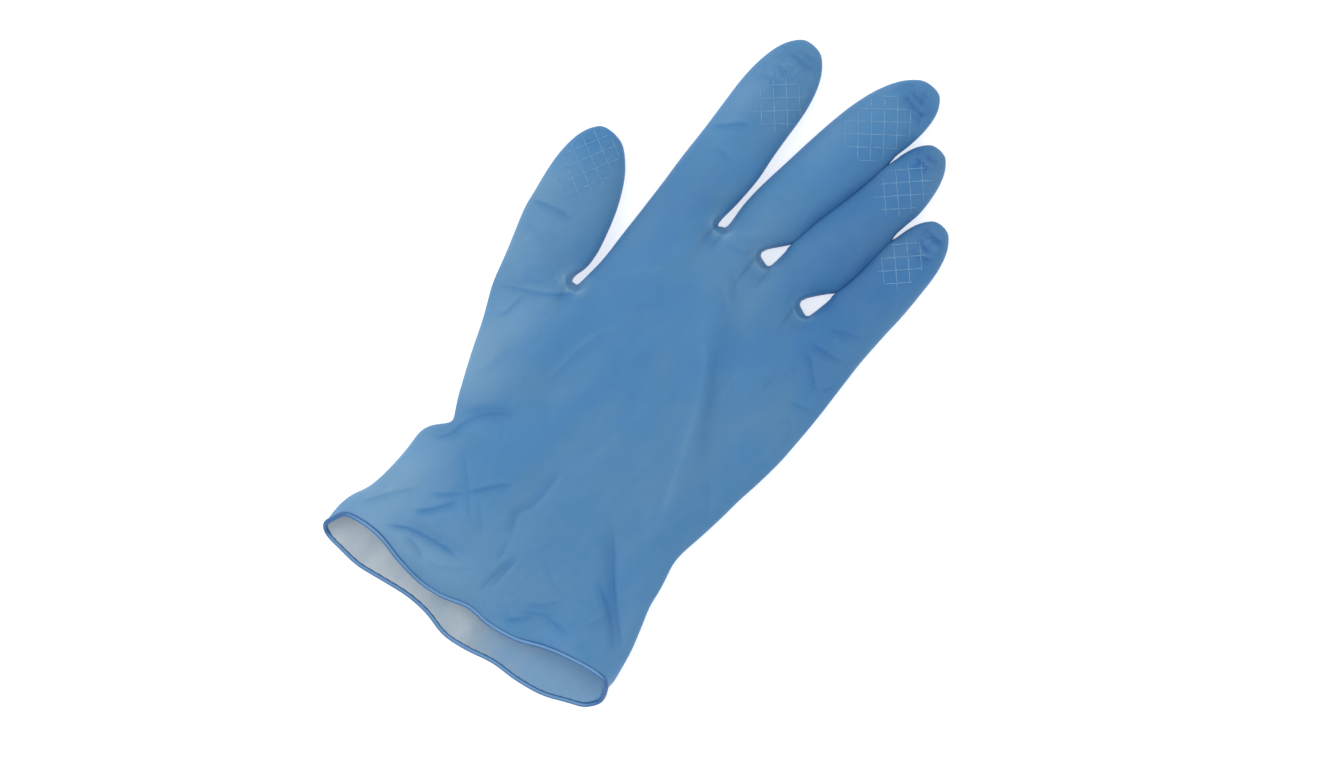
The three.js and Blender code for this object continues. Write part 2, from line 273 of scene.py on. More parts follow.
@dataclass(frozen=True)
class FilmOutside:
    """The blue outside of the film: soft matte rubber, with painted shade in its creases and where it
    stands upright, painted highlights on its pale crests and lines, and duller in large soft patches."""

    deep: Colour = rgb(30, 98, 174)
    body: Colour = rgb(83, 146, 200)
    pale: Colour = rgb(150, 192, 222)
    dull: Colour = rgb(108, 154, 188)
    cover: float = 0.88
    glow: float = 0.15
    roughness: float = 0.5
    # Painted shade along the creases' lines, and painted light on one slope of each crease with painted
    # shade on the other.
    line_width: float = 0.55
    line_shade_and_light: float = 0.85
    line_depth: float = 0.9
    slope_width: float = 1.5
    slope_light_and_shade: float = 0.4
    slope_rise: float = 0.9
    # Painted shade along the fine crinkles.
    crinkle_shade: float = 0.26
    crinkle_depth: float = 0.9
    cloud_tone: float = 0.3
    fine_tone: float = 0.16
    streak_tone: float = 0.14
    dull_start: float = 0.42
    dull_growth: float = 1.5

    def build(self) -> bpy.types.Material:
        """Returns: the material."""
        shader = Shader("film_outside")
        patches = shader.cloud(26, 3, (1.0, 0.6, 1.0))
        fine = shader.cloud(3.2, 4, (1.0, 0.55, 1.0))
        streaks = shader.cloud(9, 2, (1.5, 0.3, 1.0))
        tone = shader.attribute("tone") + (patches - 0.5) * self.cloud_tone
        tone = tone + (fine - 0.5) * self.fine_tone + (streaks - 0.5) * self.streak_tone
        grain = shader.cloud(0.55, 3)
        crinkle = shader.cloud(2.4, 3, (1.0, 0.45, 1.0))
        height = grain * 0.25 + crinkle
        # Thin lines of painted shade along the crinkles, also sunk into the bump.
        crinkle_lines = (shader.cloud(3.2, 1.5, (1.0, 0.7, 1.0), 1.1) - 0.5).bell(0.05)
        crinkle_lines = crinkle_lines + (shader.cloud(7.0, 2, (1.0, 0.5, 1.0), 0.8) - 0.5).bell(0.025)
        crinkle_lines = crinkle_lines * shader.attribute("crinkle")
        tone = tone - crinkle_lines * self.crinkle_shade
        height = height - crinkle_lines * self.crinkle_depth
        # Along each crease: painted shade on its line, a painted highlight where its depth is below 0, and
        # painted light and shade on its two slopes; the same values shape the bump.
        for layer in range(CREASE_LAYERS):
            away = shader.attribute(f"away_{layer}")
            depth = shader.attribute(f"depth_{layer}")
            line = depth * away.bell(self.line_width)
            slope = depth * away * away.bell(self.slope_width)
            tone = tone - line * self.line_shade_and_light + slope * self.slope_light_and_shade
            height = height - line * self.line_depth + slope * self.slope_rise
        # The tone runs from deep to pale: painted shade and highlights from the creases, sides and patches,
        # with the film's own soft variations.
        colour = shader.ramp(tone * 0.5 + 0.5, [(0.0, self.deep), (0.5, self.body), (1.0, self.pale)])
        dusty = (shader.cloud(24, 4, (1.0, 0.7, 1.0), 0.5) - self.dull_start) * self.dull_growth
        colour = shader.blend(colour, self.dull, dusty)
        return shader.finish(
            {
                "Base Color": colour,
                "Roughness": self.roughness + (fine - 0.5) * 0.2,
                "Alpha": self.cover + shader.attribute("upright") * (1.0 - self.cover),
                "Specular IOR Level": 0.25,
                "Sheen Weight": 0.03,
                "Normal": shader.bump(height, 0.35, 0.35),
            },
            self.glow,
        )


@dataclass(frozen=True)
class FilmInside:
    """The film's pale inside, as it shows in the cuff's mouth: pale as painted light that comes through the
    thin film, and bluer towards the outer side as painted shade.
    """

    deep: Colour = rgb(136, 180, 216)
    shade: Colour = rgb(172, 192, 206)
    # Painted light: the pale of the light that comes through the thin film.
    body: Colour = rgb(222, 230, 232)
    cover: float = 0.86
    glow: float = 0.12

    def build(self) -> bpy.types.Material:
        """Returns: the material."""
        shader = Shader("film_inside")
        patches = shader.cloud(14, 4, (1.0, 0.6, 1.0))
        pale = patches * 0.6 + (1.0 - shader.attribute("shaded")) * 0.5
        colour = shader.ramp(pale, [(0.3, self.deep), (0.6, self.shade), (0.88, self.body)])
        crinkle = shader.cloud(3.0, 3, (1.0, 0.5, 1.0))
        return shader.finish(
            {
                "Base Color": colour,
                "Roughness": 0.55,
                "Alpha": self.cover,
                "Specular IOR Level": 0.3,
                "Normal": shader.bump(crinkle, 0.4, 0.4),
            },
            self.glow,
        )


@dataclass(frozen=True)
class BeadFinish:
    """Rolled film: deep blue at its sides, where the rolled film is seen edge-on, with a painted highlight
    as a paler line along its top, where it faces up.
    """

    side: Colour = rgb(44, 100, 158)
    crown_highlight: Colour = rgb(108, 156, 200)

    def build(self) -> bpy.types.Material:
        """Returns: the material."""
        shader = Shader("rolled_bead")
        crown_highlight = shader.attribute("crown_highlight") + (shader.cloud(4, 2) - 0.5) * 0.15
        colour = shader.ramp(crown_highlight, [(0.6, self.side), (0.95, self.crown_highlight)])
        return shader.finish(
            {
                "Base Color": colour,
                "Roughness": 0.42,
                "Specular IOR Level": 0.4,
                "Normal": shader.bump(shader.cloud(1.2, 2), 0.3, 0.15),
            }
        )


@dataclass(frozen=True)
class RibFinish:
    """The raised lines on the pads, a little paler than the film round them."""

    shade: Colour = rgb(106, 158, 204)
    body: Colour = rgb(132, 182, 220)
    cover: float = 0.8

    def build(self) -> bpy.types.Material:
        """Returns: the material."""
        shader = Shader("grip_rib")
        colour = shader.ramp(shader.cloud(2, 2), [(0.3, self.shade), (0.7, self.body)])
        return shader.finish(
            {
                "Base Color": colour,
                "Roughness": 0.5,
                "Alpha": self.cover,
                "Specular IOR Level": 0.3,
            }
        )


@dataclass(frozen=True)
class TableFinish:
    """A plain white table top, lit from below as well, so that the shadows on it stay faint."""

    body: Colour = (0.7, 0.7, 0.7, 1.0)
    light: float = 0.6

    def build(self) -> bpy.types.Material:
        """Returns: the material."""
        shader = Shader("white_table")
        return shader.finish(
            {
                "Base Color": self.body,
                "Roughness": 0.7,
                "Specular IOR Level": 0.1,
                "Emission Color": (1.0, 1.0, 1.0, 1.0),
                "Emission Strength": self.light,
            }
        )


# Where things are


@dataclass(frozen=True)
class Trace:
    """Turns measurements from the middle of the cuff, in millimetres, into the glove's frame, in metres.

    Args:
        shift_x: where the middle of the cuff lies in the frame, in millimetres.
        shift_y: the same along the hand.
        turn: how far the measurements are turned, in degrees.
    """

    shift_x: float
    shift_y: float
    turn: float

    @classmethod
    def from_frame(cls) -> "Trace":
        """Finds the shift from the film's box, whose far corner is at the cuff's outer corner and the
        longest fingertip, and from where those two points are measured."""
        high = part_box("glove_film")[1]
        loose = cls(0.0, 0.0, HAND_TURN)
        corner, tip = loose.flat([CUFF_CORNER, LONGEST_TIP])
        return cls((high.x - corner[0]) / MM, (high.y - tip[1]) / MM, loose.turn)

    def direction(self, points: np.ndarray) -> np.ndarray:
        """Directions turned into the glove's frame."""
        cos, sin = math.cos(math.radians(self.turn)), math.sin(math.radians(self.turn))
        return points @ np.array(((cos, sin), (-sin, cos)))

    def flat(self, points: list[tuple[float, float]]) -> np.ndarray:
        """The points as an array in metres."""
        return (self.direction(np.array(points, float)) + (self.shift_x, self.shift_y)) * MM


class Side(Enum):
    """The side of the film that a fold is on."""

    TOP = 1
    BACK = -1


@dataclass(frozen=True)
class Fold:
    """A fold of the film along a line.

    Args:
        points: the line, in millimetres from the middle of the cuff.
        width: half the fold's width in millimetres.
        rise: height of its crest in millimetres, before RELIEF, and below 0 for a crease.
        lean: how much higher its left side stands than its right one, seen along the line; it also paints
            the left side paler and the right side deeper, as painted light and shade.
        shade: how much painted shade deepens its colour, below 0 for a painted highlight that makes it
            paler.
        fade: the share of its length over which each end fades out.
        side: the side of the film that it is on.
        crisp: whether a clear line runs along it, as in a crease, or only a faint one.
    """

    points: tuple[tuple[float, float], ...]
    width: float
    rise: float
    lean: float = 0.0
    shade: float = 0.0
    fade: float = 0.3
    side: Side = Side.TOP
    crisp: bool = True

    def measure(self, trace: Trace, flat: np.ndarray) -> tuple[np.ndarray, np.ndarray]:
        """Where points lie against the fold's line.

        Args:
            trace: the shift of its measurements.
            flat: the points' x and y in metres.

        Returns:
            The distance from the line in metres, above 0 on its left, and how strong the fold is there,
            from 0 at its ends to 1.
        """
        line = smooth_line(trace.flat(list(self.points)))
        lengths = np.linalg.norm(np.diff(line, axis=0), axis=1)
        starts = np.concatenate([[0.0], np.cumsum(lengths)])
        nearest = np.full(len(flat), 1e9)
        signed = np.zeros(len(flat))
        along = np.zeros(len(flat))
        for start, end, length, before in zip(line[:-1], line[1:], lengths, starts):
            step = (end - start) / length
            offset = flat - start
            reach = np.clip(offset @ step, 0.0, length)
            distance = np.linalg.norm(offset - reach[:, None] * step, axis=1)
            closer = distance < nearest
            left = np.sign(step[0] * offset[:, 1] - step[1] * offset[:, 0])
            nearest = np.where(closer, distance, nearest)
            signed = np.where(closer, left * distance, signed)
            along = np.where(closer, (before + reach) / starts[-1], along)
        ends = smooth_step(along, 0.0, self.fade) * smooth_step(1.0 - along, 0.0, self.fade)
        return signed, ends

    def shape(self, trace: Trace, flat: np.ndarray) -> tuple[np.ndarray, np.ndarray]:
        """How the fold changes the film at each point.

        Args:
            trace: the shift of its measurements.
            flat: the points' x and y in metres.

        Returns:
            The rise in metres, and the change of tone: painted shade in the crease, a painted highlight on
            a crest where shade is below 0, and painted light and shade on its two sides.
        """
        signed, ends = self.measure(trace, flat)
        away = signed / (self.width * MM)
        bell = np.exp(-(away**2)) * ends
        tilt = away * np.exp(-((away / 1.3) ** 2)) * ends
        rise = (self.rise * bell + self.lean * tilt * 0.5) * RELIEF * MM
        return rise, -0.5 * self.shade * bell + 0.1 * self.lean * tilt


# In the fold tables, shade is painted shade in a crease, and below 0 a painted highlight on a crest; lean
# paints the left side paler and the right side deeper as well as raising it.
MAIN_FOLDS: tuple[Fold, ...] = (
    # the long ridge across the palm, with a valley on its outer side
    Fold(
        ((-6, 127), (0.6, 118), (6.8, 111), (11.2, 104), (15, 97), (18.2, 89), (22, 81), (25.3, 73),
         (33.5, 59)),
        2.0, 0.8, 0.6, -0.2, 0.25, crisp=False,
    ),
    Fold(
        ((4, 119), (8.6, 113.7), (13.1, 108), (17.4, 102), (21.1, 96), (24.7, 89.7), (27.8, 82.7)),
        2.2, -0.5, -0.3, 0.26, 0.25, crisp=False,
    ),
    Fold(((19, 86), (23.1, 74.5), (26.2, 66.7), (29.4, 61)), 1.5, -0.3, 0.0, 0.16, crisp=False),
    # the edge of the thumb's ball
    Fold(
        ((-30, 68), (-29.6, 80), (-29, 89.5), (-26.9, 97.3), (-22, 104)),
        1.2, 0.4, -0.3, -0.2, crisp=False,
    ),
    Fold(((-27.5, 66), (-27, 79), (-26, 90)), 2.4, -0.3, -0.5, 0.12, 0.35, crisp=False),
    Fold(((-49.7, 56.5), (-46.8, 63.7), (-46, 70.2), (-45.3, 76)), 1.6, -0.3, 0.5, 0.2, crisp=False),
    # heel of the hand
    Fold(
        ((16.6, 53.5), (23.9, 46.7), (30, 40), (34.6, 35.2), (39.8, 30.4), (45.2, 25.7), (50, 20.6)),
        2.3, -0.8, 0.8, 0.34, 0.25,
    ),
    Fold(
        ((25.5, 36.1), (30.3, 33.3), (36.9, 29.7), (42.4, 25.1), (47.9, 19.6)),
        1.3, -0.4, -0.5, 0.26, 0.25,
    ),
    # above the mouth, on the thumb's side
    Fold(((-38.2, 1.5), (-31, 6.2), (-23.4, 8.2), (-16.8, 9.4), (-11, 9.8)), 1.5, -0.7, -0.8, 0.4, 0.22),
    Fold(((-31.4, 3.4), (-26.9, 3.7), (-22.7, 2.7), (-19.7, 1.1)), 1.3, -0.4, 0.5, 0.24),
    Fold(((-34.2, 10.9), (-29.4, 16.1), (-26.7, 20.4), (-24.4, 24.8)), 1.4, -0.5, 0.4, 0.32, 0.25),
    Fold(((-24.7, 27.7), (-21.5, 31.8), (-18.2, 36.4), (-14.3, 40.5)), 1.0, -0.3, 0.3, 0.28, 0.25),
    # the wrist's notch
    Fold(
        ((-48.4, 34.6), (-44, 35.2), (-41.4, 38.9), (-40.7, 43.7), (-38.7, 48.9), (-34.6, 53.7),
         (-28.7, 58.3)),
        1.8, -0.6, -0.6, 0.26, 0.25,
    ),
    Fold(((-47, 46.5), (-41.2, 50), (-36, 54.4), (-28, 60)), 2.6, -0.3, 0.4, 0.26, crisp=False),
    # down the middle of the wrist
    Fold(
        ((-6, 55), (-5.6, 47.8), (-5.6, 39.3), (-7.4, 33.9), (-5.6, 29.8), (-3.9, 25.2)),
        1.4, -0.5, 0.6, 0.28, 0.2,
    ),
    Fold(((2.4, 23.5), (2.5, 17.5), (2.2, 12.5), (1.9, 8.6)), 1.1, -0.5, 0.6, 0.38),
    Fold(((1.1, 21.1), (0.5, 13.4), (0, 5.4)), 1.1, -0.4, -0.4, 0.24),
    # over the mouth's outer half
    Fold(
        ((14.5, 9.3), (21.4, 14.4), (25.3, 14.7), (29.8, 15), (33.1, 15.1)),
        1.3, -0.4, -0.6, 0.26, 0.25,
    ),
    Fold(((12.5, 4.2), (17, 8.6), (20.7, 13)), 1.1, -0.3, 0.3, 0.2),
    Fold(((20, 6), (30, 11), (44, 13)), 1.6, 0.3, 0.3, -0.1, crisp=False),
)

FINE_CREASES: tuple[Fold, ...] = (
    # the little finger's side of the palm, a fan from the outer web
    Fold(((27.2, 140.5), (32.9, 141.3), (40.8, 142.6)), 1.0, -0.4, 0.3, 0.28),
    Fold(((27.8, 147), (34.8, 151), (41.1, 153.5)), 1.2, -0.25, 0.2, 0.14),
    Fold(((27.3, 138), (33.1, 134.6), (38.2, 130.6), (42, 129.2)), 1.0, -0.35, 0.3, 0.24),
    Fold(((40.2, 130.2), (42, 133), (43.3, 135.6)), 0.9, -0.3, 0.2, 0.18),
    Fold(((24, 136), (27, 128), (28, 121)), 1.2, 0.3, 0.2, -0.12, crisp=False),
    Fold(((25.1, 117.8), (25.8, 121), (25.5, 124)), 1.3, -0.25, 0.2, 0.14),
    Fold(((33.4, 120.4), (39, 122.5), (44, 124)), 1.0, -0.3, 0.2, 0.18),
    Fold(((36.4, 117.2), (41.4, 115.3), (43.8, 108.8)), 1.1, -0.25, 0.2, 0.14),
    Fold(
        ((17.4, 120.6), (16.8, 114.1), (17.6, 107.9), (19.6, 103.2)),
        0.9, 0.25, 0.0, -0.14, crisp=False,
    ),
    Fold(((30, 146), (37, 147), (43, 149)), 1.0, 0.25, 0.2, -0.14, crisp=False),
    # below the inner webs
    Fold(((-8, 135.3), (-2.9, 131.3), (1.4, 127.7)), 1.3, -0.25, 0.3, 0.14),
    Fold(((-7.7, 140.9), (-3.2, 137.4), (0.1, 133)), 1.3, -0.3, 0.3, 0.18),
    Fold(((-16, 146), (-10, 148), (-6, 150)), 1.2, -0.25, 0.2, 0.14),
    Fold(((-17, 150), (-11, 155), (-5, 157)), 1.2, 0.25, 0.1, -0.12, crisp=False),
    Fold(((-37.5, 111.7), (-29.6, 121.9), (-22, 129)), 1.0, 0.2, 0.1, -0.12, crisp=False),
    # the thumb's root and back
    Fold(
        ((-63.7, 85.4), (-58.9, 88.3), (-52.7, 91.7), (-47.4, 95.1), (-43, 99.6), (-40.8, 104.5)),
        1.0, -0.4, 0.4, 0.26, 0.2,
    ),
    Fold(((-63.7, 86.4), (-60, 90), (-55.5, 94), (-50, 98)), 1.4, -0.3, 0.2, 0.2, crisp=False),
    Fold(((-57.1, 77), (-54.4, 81.5), (-54.2, 85.9), (-53.6, 90.5)), 0.9, -0.3, 0.2, 0.22),
    Fold(((-73.6, 114.6), (-68.6, 116.4), (-62.8, 118), (-58.1, 118.6)), 1.1, -0.5, 0.5, 0.32, 0.2),
    Fold(((-72, 107.5), (-64, 109), (-56, 112)), 1.6, -0.25, 0.2, 0.12, crisp=False),
    # across the cuff
    Fold(((-49.1, 0.4), (-46, 6), (-41.6, 12.8), (-36.8, 19)), 1.2, -0.4, 0.4, 0.2, 0.25),
    Fold(((-33.5, 19.6), (-28.9, 22.9), (-24.7, 27.4)), 1.1, -0.3, 0.3, 0.2),
    Fold(
        ((-36.5, 39.1), (-29.5, 33.1), (-23.3, 27.3), (-17.6, 21.9), (-12.4, 19.9)),
        0.8, -0.2, 0.2, 0.09,
    ),
    Fold(((-19.7, 28.6), (-15.2, 24.1), (-10, 19.7)), 0.9, -0.25, 0.2, 0.1),
    Fold(((-3.9, 25.2), (-2.6, 22.1), (-1.8, 17)), 0.9, -0.2, 0.2, 0.14),
    Fold(((14.4, 12.6), (20.2, 17.8), (23, 23.1)), 1.1, -0.25, 0.3, 0.16),
    Fold(((8, 30), (18, 24), (26, 26)), 1.2, -0.25, 0.2, 0.08),
    Fold(((-22, 2), (-14, 4), (-4, 12)), 1.1, -0.25, 0.2, 0.1),
    Fold(((34, 20), (37, 26), (38, 30)), 1.0, -0.25, 0.2, 0.12),
    # the palm
    Fold(((-30, 72), (-16, 60), (2, 52)), 1.6, -0.25, 0.3, 0.07, crisp=False),
    Fold(((30, 86), (38, 78), (43, 70)), 1.2, -0.25, 0.2, 0.08),
    # fingers
    Fold(((-44.8, 172.6), (-41.7, 175.5), (-38.5, 178.9), (-34.8, 181)), 1.0, -0.4, 0.4, 0.28, 0.2),
    Fold(((-39.3, 168.2), (-35.8, 168.2), (-31.5, 168.3)), 1.0, -0.25, 0.2, 0.15),
    Fold(((-18, 168), (-10, 170), (-3, 169)), 1.0, -0.2, 0.1, 0.06),
    # painted shadow along where the outer fingers lie against each other
    Fold(
        ((-1, 161), (0.5, 170), (2.5, 180), (4.4, 190), (5.6, 199)),
        1.9, 0.0, 0.0, 0.42, 0.2, crisp=False,
    ),
    Fold(((21.5, 158), (22.9, 169), (23.4, 179), (24.8, 188)), 1.9, 0.0, 0.0, 0.42, 0.2, crisp=False),
)

TIP_CREASES: tuple[Fold, ...] = (
    # index
    Fold(((-41.4, 207.6), (-38.2, 208.3), (-34.8, 208.4), (-31.5, 209.6)), 1.2, -0.45, 0.4, 0.27, 0.22),
    Fold(((-41.2, 209.4), (-38.6, 210.6), (-34.9, 211.4), (-31.9, 211.6)), 1.2, -0.3, 0.2, 0.14),
    Fold(((-42.5, 201.5), (-40.2, 202.1), (-37.4, 202.1)), 1.1, -0.3, 0.2, 0.16),
    Fold(((-40.6, 203.4), (-39.6, 206.6), (-36.8, 206.2), (-36.6, 203.2)), 0.9, 0.25, 0.0, -0.13, 0.15),
    Fold(((-45, 196), (-41, 197), (-36, 199)), 1.4, -0.2, 0.1, 0.1),
    # middle
    Fold(((-4.4, 223.1), (-1, 222.1), (2.7, 221.5), (6.9, 222)), 1.5, -0.6, 0.5, 0.3, 0.2),
    Fold(((-3.4, 224.9), (0.4, 225), (4.2, 224.7)), 1.2, -0.4, 0.3, 0.22),
    Fold(((-0.6, 227.4), (1.5, 227.3), (3.4, 226.9)), 1.1, -0.3, 0.2, 0.16),
    Fold(((-2.5, 223.7), (1, 223.4), (5, 223.4)), 0.8, 0.3, 0.0, -0.14),
    Fold(((3.5, 216.5), (6, 213), (7, 208)), 1.4, -0.2, 0.2, 0.1),
    Fold(((-6.5, 221), (-6, 225.5), (-2.5, 228.5)), 1.4, -0.25, 0.2, 0.13),
    Fold(((0, 219), (4.5, 219.5), (8, 217)), 1.2, -0.25, 0.2, 0.11),
    # ring
    Fold(((12.3, 210.4), (15.2, 209.5), (19.4, 209.6)), 1.4, -0.5, 0.4, 0.26, 0.22),
    Fold(((13.8, 213.5), (17.5, 213.3), (20.4, 213.7)), 1.1, -0.3, 0.3, 0.18),
    Fold(((14, 211.9), (17, 211.4), (20, 211.6)), 0.8, 0.3, 0.0, -0.11),
    Fold(((11, 207.5), (15, 207), (20, 207.5)), 1.1, -0.25, 0.2, 0.13),
    # little
    Fold(((31.3, 186.7), (34.3, 186.2), (37.5, 186.9), (40.4, 188.5)), 1.4, -0.5, 0.4, 0.27, 0.22),
    Fold(((31, 190.7), (34.1, 189.6), (37.7, 189.2)), 1.4, -0.5, 0.4, 0.29, 0.25),
    Fold(((29.1, 194), (32.7, 194.4), (36.7, 194.3), (39.7, 194.9)), 1.5, -0.6, 0.5, 0.34, 0.22),
    Fold(((32.4, 192.4), (36.5, 191.8), (39.9, 192)), 1.2, 0.4, 0.0, -0.19),
    Fold(((33, 188), (36.5, 188), (40, 190)), 0.9, 0.3, 0.0, -0.14),
    # thumb
    Fold(((-73.6, 139.5), (-70.9, 143.1), (-69.1, 146.5)), 1.1, -0.3, 0.2, 0.18),
)

BACK_FOLDS: tuple[Fold, ...] = (
    Fold(((-10, 132), (4, 96), (18, 60)), 3.0, 0.35, 0.0, 0.12, side=Side.BACK),
    Fold(((-32, 88), (-24, 60), (-12, 40)), 2.4, 0.35, 0.0, 0.12, side=Side.BACK),
    Fold(((-40, 12), (-18, 16), (4, 12)), 2.0, 0.4, 0.0, 0.14, side=Side.BACK),
    Fold(((14, 44), (28, 30), (42, 22)), 2.0, 0.35, 0.0, 0.12, side=Side.BACK),
    Fold(((22, 128), (30, 104), (34, 80)), 2.2, 0.3, 0.0, 0.1, side=Side.BACK),
    Fold(((-62, 92), (-50, 84), (-40, 66)), 2.0, 0.3, 0.0, 0.1, side=Side.BACK),
)


@dataclass(frozen=True)
class Patch:
    """A soft patch of the film that looks paler or deeper: its middle, half sizes, turn and change of tone,
    which in places is painted light.
    In the table of crinkled places the last number is how crinkled the film is."""

    x: float
    y: float
    half_x: float
    half_y: float
    turn: float
    tone: float


# Soft patches of tone. The paler ones on the thumb's side, which the light falls on, along the thumb's
# outer edge, at the cuff's inner corner and on the fingers' outer edges, are painted highlight.
TONE_AND_LIGHT_PATCHES: tuple[Patch, ...] = (
    Patch(-55, 66, 9, 30, -16, 0.50),  # the thumb's ball, along its outer edge
    Patch(-66, 100, 9, 18, -5, 0.34),
    Patch(-46, 12, 12, 24, 0, 0.50),  # the cuff's inner corner
    Patch(-28, 14, 30, 20, 0, 0.20),
    Patch(20, 14, 30, 18, 10, 0.08),
    Patch(46, 30, 8, 20, 20, 0.10),
    Patch(14, 178, 13, 42, -4, -0.32),  # the ring and little fingers
    Patch(33, 166, 14, 38, 0, -0.30),
    Patch(-30, 152, 12, 14, 0, -0.14),
    Patch(-43, 188, 5, 18, 0, 0.28),  # the outer edges of the thumb, index and middle fingers
    Patch(-13, 200, 6, 20, -10, 0.20),
    Patch(-73, 122, 5, 12, 0, 0.26),
    Patch(8, 100, 30, 40, 20, -0.06),
    Patch(-46, 57, 9, 12, -10, 0.34),
    Patch(-25, 2, 15, 5, 8, 0.42),  # between the mouth and the fold above it
    Patch(-3, 6, 12, 8, 0, 0.12),
    Patch(0.9, 223.9, 6.5, 3.2, 0, -0.34),  # the crumpled tips
    Patch(16.5, 212, 5.5, 3, 0, -0.22),
    Patch(35, 190, 6, 4, 0, -0.12),
    Patch(-36, 209.5, 6, 2.5, 5, -0.16),
)

CRINKLED: tuple[Patch, ...] = (
    Patch(-38, 203, 8, 10, 0, 0.6),  # the five tips
    Patch(2, 223, 8, 6, 0, 0.7),
    Patch(17, 211, 7, 5, 0, 0.7),
    Patch(34.5, 191, 7, 6, 0, 0.7),
    Patch(-67, 143, 8, 6, 0, 0.3),
    Patch(0, 12, 54, 20, 0, 0.15),  # the cuff and the wrist
    Patch(34, 128, 14, 22, 0, 0.2),  # the palm's outer side and the thumb's root
    Patch(-60, 100, 14, 20, 0, 0.15),
)


@dataclass
class CreaseLines:
    """The creases' sharp lines of painted shade, and pale lines of painted highlight where the depth is
    below 0. Each point of the film keeps its distance to the nearest crease and that crease's depth, in a
    few layers, so that creases near each other lie in layers of their own."""

    trace: Trace
    full: float = 2.0
    reach: float = 3.4
    band: float = 5.2
    far: float = 9.0
    faint: float = 0.25

    def store(self, skin: bpy.types.Object, folds: tuple[Fold, ...], share: np.ndarray) -> None:
        """Stores the layers on the film.

        Args:
            skin: the film.
            folds: the creases.
            share: how far each point faces the way that the creases do.
        """
        flat = points_of(skin)[:, :2]
        away = np.full((CREASE_LAYERS, len(flat)), self.far)
        depth = np.zeros((CREASE_LAYERS, len(flat)))
        for fold in folds:
            signed, ends = fold.measure(self.trace, flat)
            signed = signed / MM
            strength = fold.shade if fold.crisp else self.faint * fold.shade
            own = strength * ends * share * (1.0 - smooth_step(np.abs(signed), self.full, self.reach))
            layer = min(range(CREASE_LAYERS), key=lambda k: int(np.sum((depth[k] != 0) & (own != 0))))
            closer = (np.abs(signed) < self.band) & (np.abs(signed) < np.abs(away[layer]))
            away[layer] = np.where(closer, signed, away[layer])
            depth[layer] = np.where(closer, own, depth[layer])
        for layer in range(CREASE_LAYERS):
            set_value(skin, f"away_{layer}", away[layer])
            set_value(skin, f"depth_{layer}", depth[layer])


# Pieces


def only(piece: bpy.types.Object) -> None:
    """Selects one object alone and makes it active."""
    bpy.ops.object.select_all(action="DESELECT")
    piece.select_set(True)
    bpy.context.view_layer.objects.active = piece


def copy_of_node(node: bpy.types.Object, name: str) -> bpy.types.Object:
    """A copy of a CAD node's mesh as a new object with its doubles merged.

    Args:
        node: the CAD node.
        name: the new piece's name.

    Returns:
        The new object.
    """
    made = bpy.data.objects.new(name, node.data.copy())
    made.data.materials.clear()
    bpy.context.scene.collection.objects.link(made)
    only(made)
    bpy.ops.object.mode_set(mode="EDIT")
    bpy.ops.mesh.select_all(action="SELECT")
    bpy.ops.mesh.remove_doubles(threshold=MERGE)
    bpy.ops.object.mode_set(mode="OBJECT")
    return made


def join_triangles(piece: bpy.types.Object) -> None:
    """Joins the mesh's triangles in pairs, back to the quads that they were cut from."""
    only(piece)
    bpy.ops.object.mode_set(mode="EDIT")
    bpy.ops.mesh.select_all(action="SELECT")
    bpy.ops.mesh.tris_convert_to_quads(face_threshold=math.pi, shape_threshold=math.pi)
    bpy.ops.object.mode_set(mode="OBJECT")


def points_of(piece: bpy.types.Object) -> np.ndarray:
    """The mesh's points as an array."""
    flat = np.empty(len(piece.data.vertices) * 3, np.float32)
    piece.data.vertices.foreach_get("co", flat)
    return flat.reshape(-1, 3).astype(float)


def normals_of(piece: bpy.types.Object) -> np.ndarray:
    """The mesh's point normals as an array."""
    flat = np.empty(len(piece.data.vertices) * 3, np.float32)
    piece.data.vertex_normals.foreach_get("vector", flat)
    return flat.reshape(-1, 3).astype(float)


def set_points(piece: bpy.types.Object, points: np.ndarray) -> None:
    """Moves the mesh's points."""
    piece.data.vertices.foreach_set("co", points.astype(np.float32).ravel())
    piece.data.update()


def set_value(piece: bpy.types.Object, name: str, values: np.ndarray) -> None:
    """Stores one number at each point of the mesh."""
    layer = piece.data.attributes.get(name) or piece.data.attributes.new(name, "FLOAT", "POINT")
    layer.data.foreach_set("value", values.astype(np.float32))


def subdivide_surface(piece: bpy.types.Object, levels: int, rounds: int = 3) -> None:
    """Applies a subdivision surface that runs through the mesh's own points instead of inside them.

    Args:
        piece: the object.
        levels: how often its faces are split.
        rounds: how often the points are moved out by what the surface falls short of them.
    """
    only(piece)
    aim = points_of(piece)
    start = aim.copy()
    modifier = piece.modifiers.new("smooth", "SUBSURF")
    modifier.levels = levels
    modifier.render_levels = levels
    for _ in range(rounds):
        reached = bpy.context.evaluated_depsgraph_get()
        reached.update()
        start += aim - points_of(piece.evaluated_get(reached))[: len(aim)]
        set_points(piece, start)
    bpy.ops.object.modifier_apply(modifier=modifier.name)


